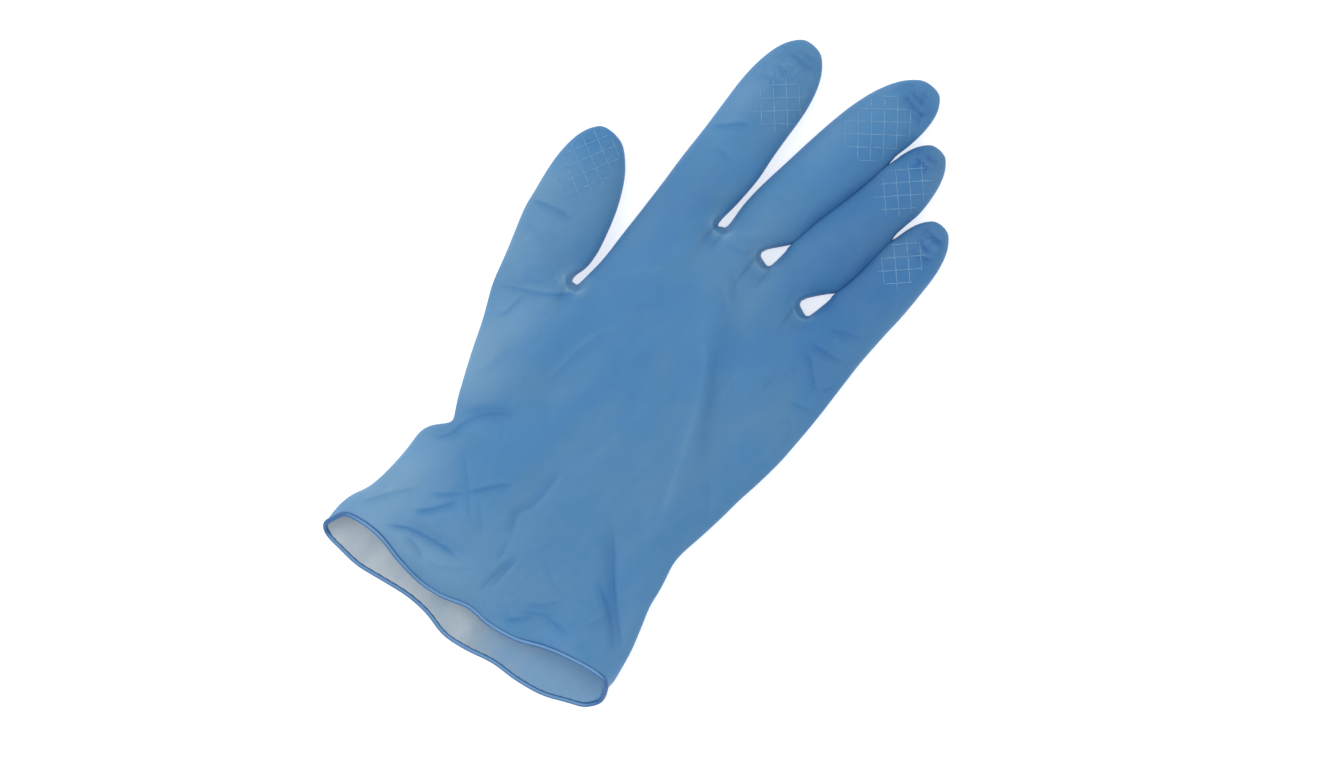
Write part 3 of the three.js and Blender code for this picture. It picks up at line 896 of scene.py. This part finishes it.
@dataclass
class GloveFilm:
    """The dipped film: hand, wrist and cuff in one, open at the mouth."""

    trace: Trace
    outside: FilmOutside = field(default_factory=FilmOutside)
    inside: FilmInside = field(default_factory=FilmInside)
    solid_wall: float = 1.0
    rim_reach: float = 2.2
    film: float = 0.3
    levels: int = 2
    waviness: float = 0.22
    tuck: float = 0.85
    # Painted shade where the film stands upright.
    side_shade: float = 0.06
    bluer_from: float = -14.0
    bluer_to: float = 40.0
    tip_areas: tuple[tuple[float, float, float], ...] = (
        (-37, 206.5, 9.5),
        (1.0, 222, 10),
        (16.5, 210.5, 7.8),
        (35, 190.5, 8.3),
    )
    webs: tuple[tuple[float, float], ...] = ((-44.3, 104.3), (-20.3, 151), (-2.0, 152), (18.6, 148.3))
    seams: tuple[Fold, ...] = (
        Fold(((0.8, 157), (1.95, 170), (3.95, 180.5), (5.85, 190.8), (6.8, 198.5), (8.6, 207)),
             1.7, 0.0, fade=0.12),
        Fold(((22.4, 155), (24.2, 169), (24.6, 179), (25.6, 187)), 1.7, 0.0, fade=0.15),
    )
    seam_push: float = 1.1
    seam_flat: float = 0.6
    seam_gap: float = -0.15
    lip_rise: float = 0.6
    lip_reach: float = 4.0
    web_lip_rise: float = 0.8
    web_lip_radius: float = 3.6
    web_lip_width: float = 1.3
    # A painted highlight on the rim round each web, and the radius of its pale arc.
    web_rim_highlight: float = 0.5
    web_line_radius: float = 4.0

    def build(self, node: bpy.types.Object) -> bpy.types.Object:
        """Makes the film from the solid one.

        Args:
            node: the solid film's CAD node.

        Returns:
            The finished piece.
        """
        skin = self._outer_skin(copy_of_node(node, "film_skin"))
        join_triangles(skin)
        subdivide_surface(skin, self.levels)
        self._refine_tips(skin)
        self._close_seams(skin)
        self._raise_lip(skin)
        self._fold(skin)
        self._tuck_rim(skin)
        self._thicken(skin)
        return skin

    def _outer_skin(self, piece: bpy.types.Object) -> bpy.types.Object:
        """Takes away the solid's inner wall and its edge round the mouth.

        Args:
            piece: the merged copy of the solid.

        Returns:
            The outer skin alone, open at the mouth.
        """
        bead = self._bead_tree()
        mesh = bmesh.new()
        mesh.from_mesh(piece.data)
        for face in mesh.faces:
            face.select_set(any(self._crosses_wall(edge, bead) for edge in face.edges))
        mesh.select_flush_mode()
        mesh.to_mesh(piece.data)
        mesh.free()
        only(piece)
        bpy.ops.object.mode_set(mode="EDIT")
        bpy.ops.mesh.select_mode(type="FACE")
        bpy.ops.mesh.delete(type="FACE")
        bpy.ops.mesh.select_all(action="SELECT")
        bpy.ops.mesh.separate(type="LOOSE")
        bpy.ops.object.mode_set(mode="OBJECT")
        parts = sorted(bpy.context.selected_objects, key=self._area, reverse=True)
        for spare in parts[1:]:
            bpy.data.objects.remove(spare)
        log.info("outer skin: %d faces, %d loose parts", len(parts[0].data.polygons), len(parts))
        parts[0].name = "film_skin"
        return parts[0]

    @staticmethod
    def _bead_tree() -> KDTree:
        """The points of the CAD bead, to find the nearest one."""
        vertices = bpy.data.objects["cuff_bead"].data.vertices
        tree = KDTree(len(vertices))
        for index, vertex in enumerate(vertices):
            tree.insert(vertex.co, index)
        tree.balance()
        return tree

    def _crosses_wall(self, edge: bmesh.types.BMEdge, bead: KDTree) -> bool:
        """Whether an edge runs from the outer to the inner wall at the mouth, beside the bead."""
        middle = (edge.verts[0].co + edge.verts[1].co) / 2
        across = abs(edge.calc_length() - self.solid_wall * MM) < 1e-6
        return across and bead.find(middle)[2] < self.rim_reach * MM

    @staticmethod
    def _area(piece: bpy.types.Object) -> float:
        """The mesh's area."""
        return sum(face.area for face in piece.data.polygons)

    def _refine_tips(self, skin: bpy.types.Object) -> None:
        """Splits the faces of the fingertips, where the film is finely creased."""
        centres = np.array([face.center[:2] for face in skin.data.polygons])
        chosen = np.zeros(len(centres), bool)
        for x, y, radius in self.tip_areas:
            middle = self.trace.flat([(x, y)])[0]
            chosen |= np.hypot(*(centres - middle).T) < radius * MM
        only(skin)
        bpy.ops.object.mode_set(mode="EDIT")
        bpy.ops.mesh.select_mode(type="FACE")
        bpy.ops.mesh.select_all(action="DESELECT")
        bpy.ops.object.mode_set(mode="OBJECT")
        skin.data.polygons.foreach_set("select", chosen)
        bpy.ops.object.mode_set(mode="EDIT")
        bpy.ops.mesh.subdivide(number_cuts=1)
        bpy.ops.object.mode_set(mode="OBJECT")

    def _close_seams(self, skin: bpy.types.Object) -> None:
        """Lets the outer fingers' sides meet, where the solid ones keep a gap between them."""
        points = points_of(skin)
        for seam in self.seams:
            signed, ends = seam.measure(self.trace, points[:, :2])
            away = np.abs(signed) / MM
            past = np.maximum(away - self.seam_flat, 0.0)
            push = self.seam_push * ends * np.exp(-((past / seam.width) ** 2))
            kept = np.minimum(away, np.maximum(away - push, self.seam_gap))
            step = self._away_from(seam, points[:, :2])
            points[:, :2] -= step * (away - kept)[:, None] * MM
        set_points(skin, points)

    def _away_from(self, seam: Fold, flat: np.ndarray) -> np.ndarray:
        """The direction from the seam's nearest point to each point."""
        line = smooth_line(self.trace.flat(list(seam.points)))
        best = np.full(len(flat), 1e9)
        found = np.zeros_like(flat)
        for start, end in zip(line[:-1], line[1:]):
            step = end - start
            reach = np.clip(((flat - start) @ step) / (step @ step), 0.0, 1.0)
            offset = flat - start - reach[:, None] * step
            length = np.linalg.norm(offset, axis=1)
            closer = length < best
            best = np.where(closer, length, best)
            found[closer] = offset[closer] / np.maximum(length[closer], 1e-9)[:, None]
        return found

    def _raise_lip(self, skin: bpy.types.Object) -> None:
        """Raises the lower lip into the middle of the bead, so that no crevice is left between them."""
        bead = self._bead_tree()
        points, normals = points_of(skin), normals_of(skin)
        away = np.array([bead.find(point)[2] for point in points]) / MM
        near = 1.0 - smooth_step(away, 0.6, self.lip_reach)
        points[:, 2] += self.lip_rise * MM * near * smooth_step(-normals[:, 2], 0.3, 0.8)
        set_points(skin, points)

    def _fold(self, skin: bpy.types.Object) -> None:
        """Lays the folds, creases and slight waves into the film, and stores its tone, with painted shade
        in the creases and on upright sides and painted highlights on crests, web rims and the sides that
        the light falls on.
        """
        points, normals = points_of(skin), normals_of(skin)
        top = smooth_step(normals[:, 2], 0.1, 0.6)
        share = {Side.TOP: top, Side.BACK: smooth_step(-normals[:, 2], 0.5, 0.9)}
        tone = np.zeros(len(points))
        rise = np.zeros(len(points))
        for fold in MAIN_FOLDS + FINE_CREASES + TIP_CREASES + BACK_FOLDS:
            height, change = fold.shape(self.trace, points[:, :2])
            rise += height * share[fold.side]
            tone += change * share[fold.side]
        # Arcs of painted highlight on the raised lips round the webs.
        lips = tuple(self._web_arc(x, y) for x, y in self.webs)
        CreaseLines(self.trace).store(skin, lips + MAIN_FOLDS + FINE_CREASES + TIP_CREASES, top)
        rise += self._waves(points) * top
        rise += self._web_lips(points) * top
        # Soft patches of tone, the paler ones on the lit thumb's side painted highlight.
        for patch in TONE_AND_LIGHT_PATCHES:
            tone += self._patch(patch, points)
        # Painted shade on the film where it stands upright; the same value makes it more opaque there.
        upright = 1.0 - smooth_step(np.abs(normals[:, 2]), 0.0, 0.7)
        tone -= self.side_shade * upright
        # A painted highlight on the rim round each web.
        web_rim_light = (self.web_lip_radius, self.web_lip_radius, 0, self.web_rim_highlight)
        tone += sum(self._patch(Patch(*web, *web_rim_light), points) for web in self.webs)
        # Painted shade on the film's inside, bluer towards the outer side.
        outwards = points[:, 0] / MM - self.trace.flat([(0.0, 0.0)])[0][0] / MM
        shaded = smooth_step(outwards, self.bluer_from, self.bluer_to)
        crinkle = sum(self._patch(patch, points) for patch in CRINKLED)
        points[:, 2] += rise
        points[:, 2] = np.maximum(points[:, 2], 0.0)
        set_points(skin, points)
        set_value(skin, "tone", np.clip(tone, -1.0, 1.0))
        set_value(skin, "crinkle", np.clip(crinkle, 0.0, 1.0))
        set_value(skin, "shaded", shaded)
        set_value(skin, "upright", upright)

    def _waves(self, points: np.ndarray) -> np.ndarray:
        """Slight waves all over, longer along the hand than across it."""
        heights = [
            noise.fractal(Vector((x * 70.0, y * 38.0, 3.7)), 0.9, 2.1, 3)
            for x, y in points[:, :2]
        ]
        return np.array(heights) * self.waviness * MM

    def _web_arc(self, x: float, y: float) -> Fold:
        """The pale line of painted highlight on the raised lip round the web at a point, as an arc on the
        palm's side.
        """
        radius = self.web_line_radius
        turns = np.radians(np.linspace(170, 370, 7))
        points = tuple((x + radius * math.cos(turn), y + radius * math.sin(turn)) for turn in turns)
        return Fold(points, 0.9, 0.0, 0.0, -0.5, 0.2)

    def _web_lips(self, points: np.ndarray) -> np.ndarray:
        """The small raised lip round the web between two fingers."""
        rise = np.zeros(len(points))
        radius, width = self.web_lip_radius * MM, self.web_lip_width * MM
        for web in self.webs:
            away = np.hypot(*(points[:, :2] - self.trace.flat([web])[0]).T)
            rise += self.web_lip_rise * MM * np.exp(-(((away - radius) / width) ** 2))
        return rise

    def _patch(self, patch: Patch, points: np.ndarray) -> np.ndarray:
        """The change of tone that a soft patch gives."""
        offset = (points[:, :2] - self.trace.flat([(patch.x, patch.y)])[0]) / MM
        angle = math.radians(patch.turn + self.trace.turn)
        along = offset[:, 0] * math.cos(angle) + offset[:, 1] * math.sin(angle)
        across = offset[:, 1] * math.cos(angle) - offset[:, 0] * math.sin(angle)
        return patch.tone * np.exp(-((along / patch.half_x) ** 2 + (across / patch.half_y) ** 2))

    def _tuck_rim(self, skin: bpy.types.Object) -> None:
        """Draws the film's edge on into the bead, in the direction that it has there."""
        onward = self._rim_directions(skin)
        only(skin)
        bpy.ops.object.mode_set(mode="EDIT")
        bpy.ops.mesh.select_mode(type="EDGE")
        bpy.ops.mesh.select_all(action="DESELECT")
        bpy.ops.mesh.select_non_manifold(extend=False, use_boundary=True)
        bpy.ops.mesh.extrude_edges_move()
        bpy.ops.object.mode_set(mode="OBJECT")
        for vertex in skin.data.vertices:
            if vertex.select:
                vertex.co += onward[self._key(vertex.co)] * self.tuck * MM
        skin.data.update()

    @staticmethod
    def _key(point: Vector) -> tuple[int, int, int]:
        """A point rounded to a hundredth of a micrometre, to find it again."""
        return (round(point.x * 1e8), round(point.y * 1e8), round(point.z * 1e8))

    def _rim_directions(self, skin: bpy.types.Object) -> dict[tuple[int, int, int], Vector]:
        """The direction in which the film runs out at each point of its edge."""
        mesh = bmesh.new()
        mesh.from_mesh(skin.data)
        found = {}
        for vertex in mesh.verts:
            inward = [edge.other_vert(vertex).co for edge in vertex.link_edges if not edge.is_boundary]
            if vertex.is_boundary and inward:
                onward = vertex.co - sum(inward, Vector()) / len(inward)
                found[self._key(vertex.co)] = onward.normalized()
        mesh.free()
        return found

    def _thicken(self, skin: bpy.types.Object) -> None:
        """Gives the film its thickness and its two finishes."""
        skin.data.materials.append(self.outside.build())
        skin.data.materials.append(self.inside.build())
        only(skin)
        modifier = skin.modifiers.new("film", "SOLIDIFY")
        modifier.thickness = self.film * MM
        modifier.offset = -1.0
        modifier.material_offset = 1
        modifier.material_offset_rim = 1
        modifier.use_even_offset = False
        bpy.ops.object.modifier_apply(modifier=modifier.name)
        bpy.ops.object.shade_smooth()


@dataclass
class RolledBead:
    """The bead round the mouth, rolled from the film's own edge."""

    finish: BeadFinish = field(default_factory=BeadFinish)
    levels: int = 2

    def build(self, node: bpy.types.Object) -> bpy.types.Object:
        """Makes the bead from the solid one.

        Args:
            node: the solid bead's CAD node.

        Returns:
            The finished piece.
        """
        bead = copy_of_node(node, "rolled_bead")
        join_triangles(bead)
        subdivide_surface(bead, self.levels)
        points = points_of(bead)
        points[:, 2] = np.maximum(points[:, 2], 0.0)
        set_points(bead, points)
        # How far each point faces up: a painted highlight along the bead's top.
        set_value(bead, "crown_highlight", np.clip(normals_of(bead)[:, 2], 0.0, 1.0) ** 2)
        bead.data.materials.append(self.finish.build())
        only(bead)
        bpy.ops.object.shade_smooth()
        return bead


@dataclass(frozen=True)
class Pad:
    """A fingertip's lattice: its middle, its half sizes along and across the finger, and its turns."""

    x: float
    y: float
    half_long: float
    half_wide: float
    finger: float
    lines: float


@dataclass
class GripRibs:
    """The raised lattice on the pad of each finger."""

    trace: Trace
    finish: RibFinish = field(default_factory=RibFinish)
    pitch: float = 4.3
    radius: float = 0.17
    sink: float = 0.02
    spacing: float = 0.5
    shortest: int = 6
    squareness: float = 2.6
    steepest: float = 0.35
    pads: tuple[Pad, ...] = (
        Pad(-67.0, 135.5, 12.0, 9.0, 100, 65),
        Pad(-32.6, 193.0, 9.5, 8.2, 94, 44),
        Pad(-3.3, 208.5, 12.5, 9.6, 80, 40),
        Pad(16.5, 199.3, 10.5, 7.6, 84, 46),
        Pad(32.5, 180.5, 9.5, 7.0, 92, 46),
    )

    def build(self, film: bpy.types.Object) -> bpy.types.Object:
        """Lays the lattices on the film.

        Args:
            film: the finished film.

        Returns:
            The finished piece.
        """
        surface = BVHTree.FromObject(film, bpy.context.evaluated_depsgraph_get())
        curve = bpy.data.curves.new("grip_ribs", "CURVE")
        curve.dimensions = "3D"
        curve.bevel_depth = self.radius * MM
        curve.bevel_resolution = 1
        for pad in self.pads:
            for turn in (0.0, 90.0):
                self._lines(curve, surface, pad, math.radians(pad.lines + turn))
        ribs = bpy.data.objects.new("grip_ribs", curve)
        bpy.context.scene.collection.objects.link(ribs)
        only(ribs)
        bpy.ops.object.convert(target="MESH")
        ribs.data.materials.clear()
        ribs.data.materials.append(self.finish.build())
        bpy.ops.object.shade_smooth()
        return ribs

    def _lines(self, curve: bpy.types.Curve, surface: BVHTree, pad: Pad, turn: float) -> None:
        """Adds a pad's lines of one direction.

        Args:
            curve: the curve that takes them.
            surface: the film's surface.
            pad: the pad.
            turn: the lines' direction.
        """
        step = Vector((math.cos(turn), math.sin(turn)))
        across = Vector((-step.y, step.x))
        reach = max(pad.half_long, pad.half_wide)
        count = int(reach / self.pitch) + 1
        for line in range(-count, count + 1):
            run: list[Vector] = []
            for index in range(int(2 * reach / self.spacing) + 1):
                offset = across * (line + 0.5) * self.pitch + step * (index * self.spacing - reach)
                point = self._on_film(surface, pad, offset)
                if point is not None:
                    run.append(point)
            if len(run) > self.shortest:
                self._add(curve, run)

    def _on_film(self, surface: BVHTree, pad: Pad, offset: Vector) -> Vector | None:
        """The film's surface at a point of the pad, or None outside the pad."""
        finger = math.radians(pad.finger)
        long = offset.x * math.cos(finger) + offset.y * math.sin(finger)
        wide = offset.y * math.cos(finger) - offset.x * math.sin(finger)
        power = self.squareness
        if (abs(long) / pad.half_long) ** power + (abs(wide) / pad.half_wide) ** power > 1:
            return None
        x, y = self.trace.flat([(pad.x + offset.x, pad.y + offset.y)])[0]
        hit = surface.ray_cast(Vector((x, y, 0.1)), Vector((0, 0, -1)))
        if hit[0] is None or hit[1].z < self.steepest:
            return None
        return hit[0] - hit[1] * self.sink * MM

    @staticmethod
    def _add(curve: bpy.types.Curve, run: list[Vector]) -> None:
        """Adds one line to the curve, with its ends thinned out."""
        spline = curve.splines.new("POLY")
        spline.points.add(len(run) - 1)
        for index, point in enumerate(run):
            end = min(index, len(run) - 1 - index)
            spline.points[index].co = (*point, 1.0)
            spline.points[index].radius = min(1.0, 0.35 + 0.3 * end)


# The table, the light and the camera


@dataclass
class Studio:
    """A white table in soft light, seen from straight above as in the photograph."""

    floor: TableFinish = field(default_factory=TableFinish)
    picture_width: float = 447.6
    middle: tuple[float, float] = (2.3, 99.9)
    edge_height: float = 4.6
    lens: float = 85.0
    sensor: float = 36.0
    right: tuple[float, float] = (0.746, 0.666)
    table_size: float = 12.0
    table_drop: float = 0.1
    key_power: float = 12.5
    fill_power: float = 5.0
    sky: float = 0.7

    def build(self, trace: Trace) -> None:
        """Makes the floor, the lights and the camera."""
        bpy.ops.object.select_all(action="DESELECT")
        bpy.ops.mesh.primitive_plane_add(size=self.table_size, location=(0, 0, -self.table_drop * MM))
        table = bpy.context.active_object
        table.name = "table_top"
        table.data.materials.append(self.floor.build())
        self._light("key_panel", (-1.1, -0.5, 1.5), 1.6, self.key_power)
        self._light("fill_panel", (0.9, 0.7, 1.6), 1.8, self.fill_power)
        world = bpy.data.worlds.new("studio")
        world.use_nodes = True
        sky = world.node_tree.nodes["Background"]
        sky.inputs["Color"].default_value = (1, 1, 1, 1)
        sky.inputs["Strength"].default_value = self.sky
        bpy.context.scene.world = world
        bpy.context.scene.view_settings.view_transform = "Standard"
        bpy.context.scene.view_settings.look = "None"
        self._camera(trace)

    def _light(self, name: str, place: tuple[float, float, float], size: float, power: float) -> None:
        """Adds a square soft light that points at the glove."""
        lamp = bpy.data.lights.new(name, "AREA")
        lamp.shape = "SQUARE"
        lamp.size = size
        lamp.energy = power
        holder = bpy.data.objects.new(name, lamp)
        holder.location = place
        holder.rotation_euler = (-Vector(place)).to_track_quat("-Z", "Y").to_euler()
        bpy.context.scene.collection.objects.link(holder)

    def _camera(self, trace: Trace) -> None:
        """Places the camera over the glove, turned as the photograph is."""
        data = bpy.data.cameras.new("view")
        data.lens = self.lens
        data.sensor_width = self.sensor
        camera = bpy.data.objects.new("view", data)
        x, y = trace.flat([self.middle])[0]
        height = (self.picture_width * self.lens / self.sensor + self.edge_height) * MM
        across = Vector((*trace.direction(np.array(self.right)), 0)).normalized()
        upward = Vector((-across.y, across.x, 0))
        turned = Matrix((across, upward, Vector((0, 0, 1)))).transposed().to_4x4()
        camera.matrix_world = Matrix.Translation((x, y, height)) @ turned
        bpy.context.scene.collection.objects.link(camera)
        bpy.context.scene.camera = camera


def main() -> None:
    """Builds the glove and its studio."""
    logging.basicConfig(level=logging.INFO, format="%(message)s")
    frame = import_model()
    trace = Trace.from_frame()
    log.info("shift %.2f %.2f", trace.shift_x, trace.shift_y)

    film = GloveFilm(trace).build(frame["nodes"]["glove_film"])
    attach(film, "root")
    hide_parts("glove_film")
    log.info("film: %d faces", len(film.data.polygons))

    bead = RolledBead().build(frame["nodes"]["cuff_bead"])
    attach(bead, "root")
    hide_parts("cuff_bead")
    log.info("bead: %d faces", len(bead.data.polygons))

    ribs = GripRibs(trace).build(film)
    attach(ribs, "root")
    log.info("ribs: %d faces", len(ribs.data.polygons))

    Studio().build(trace)


if __name__ == "__main__":
    main()
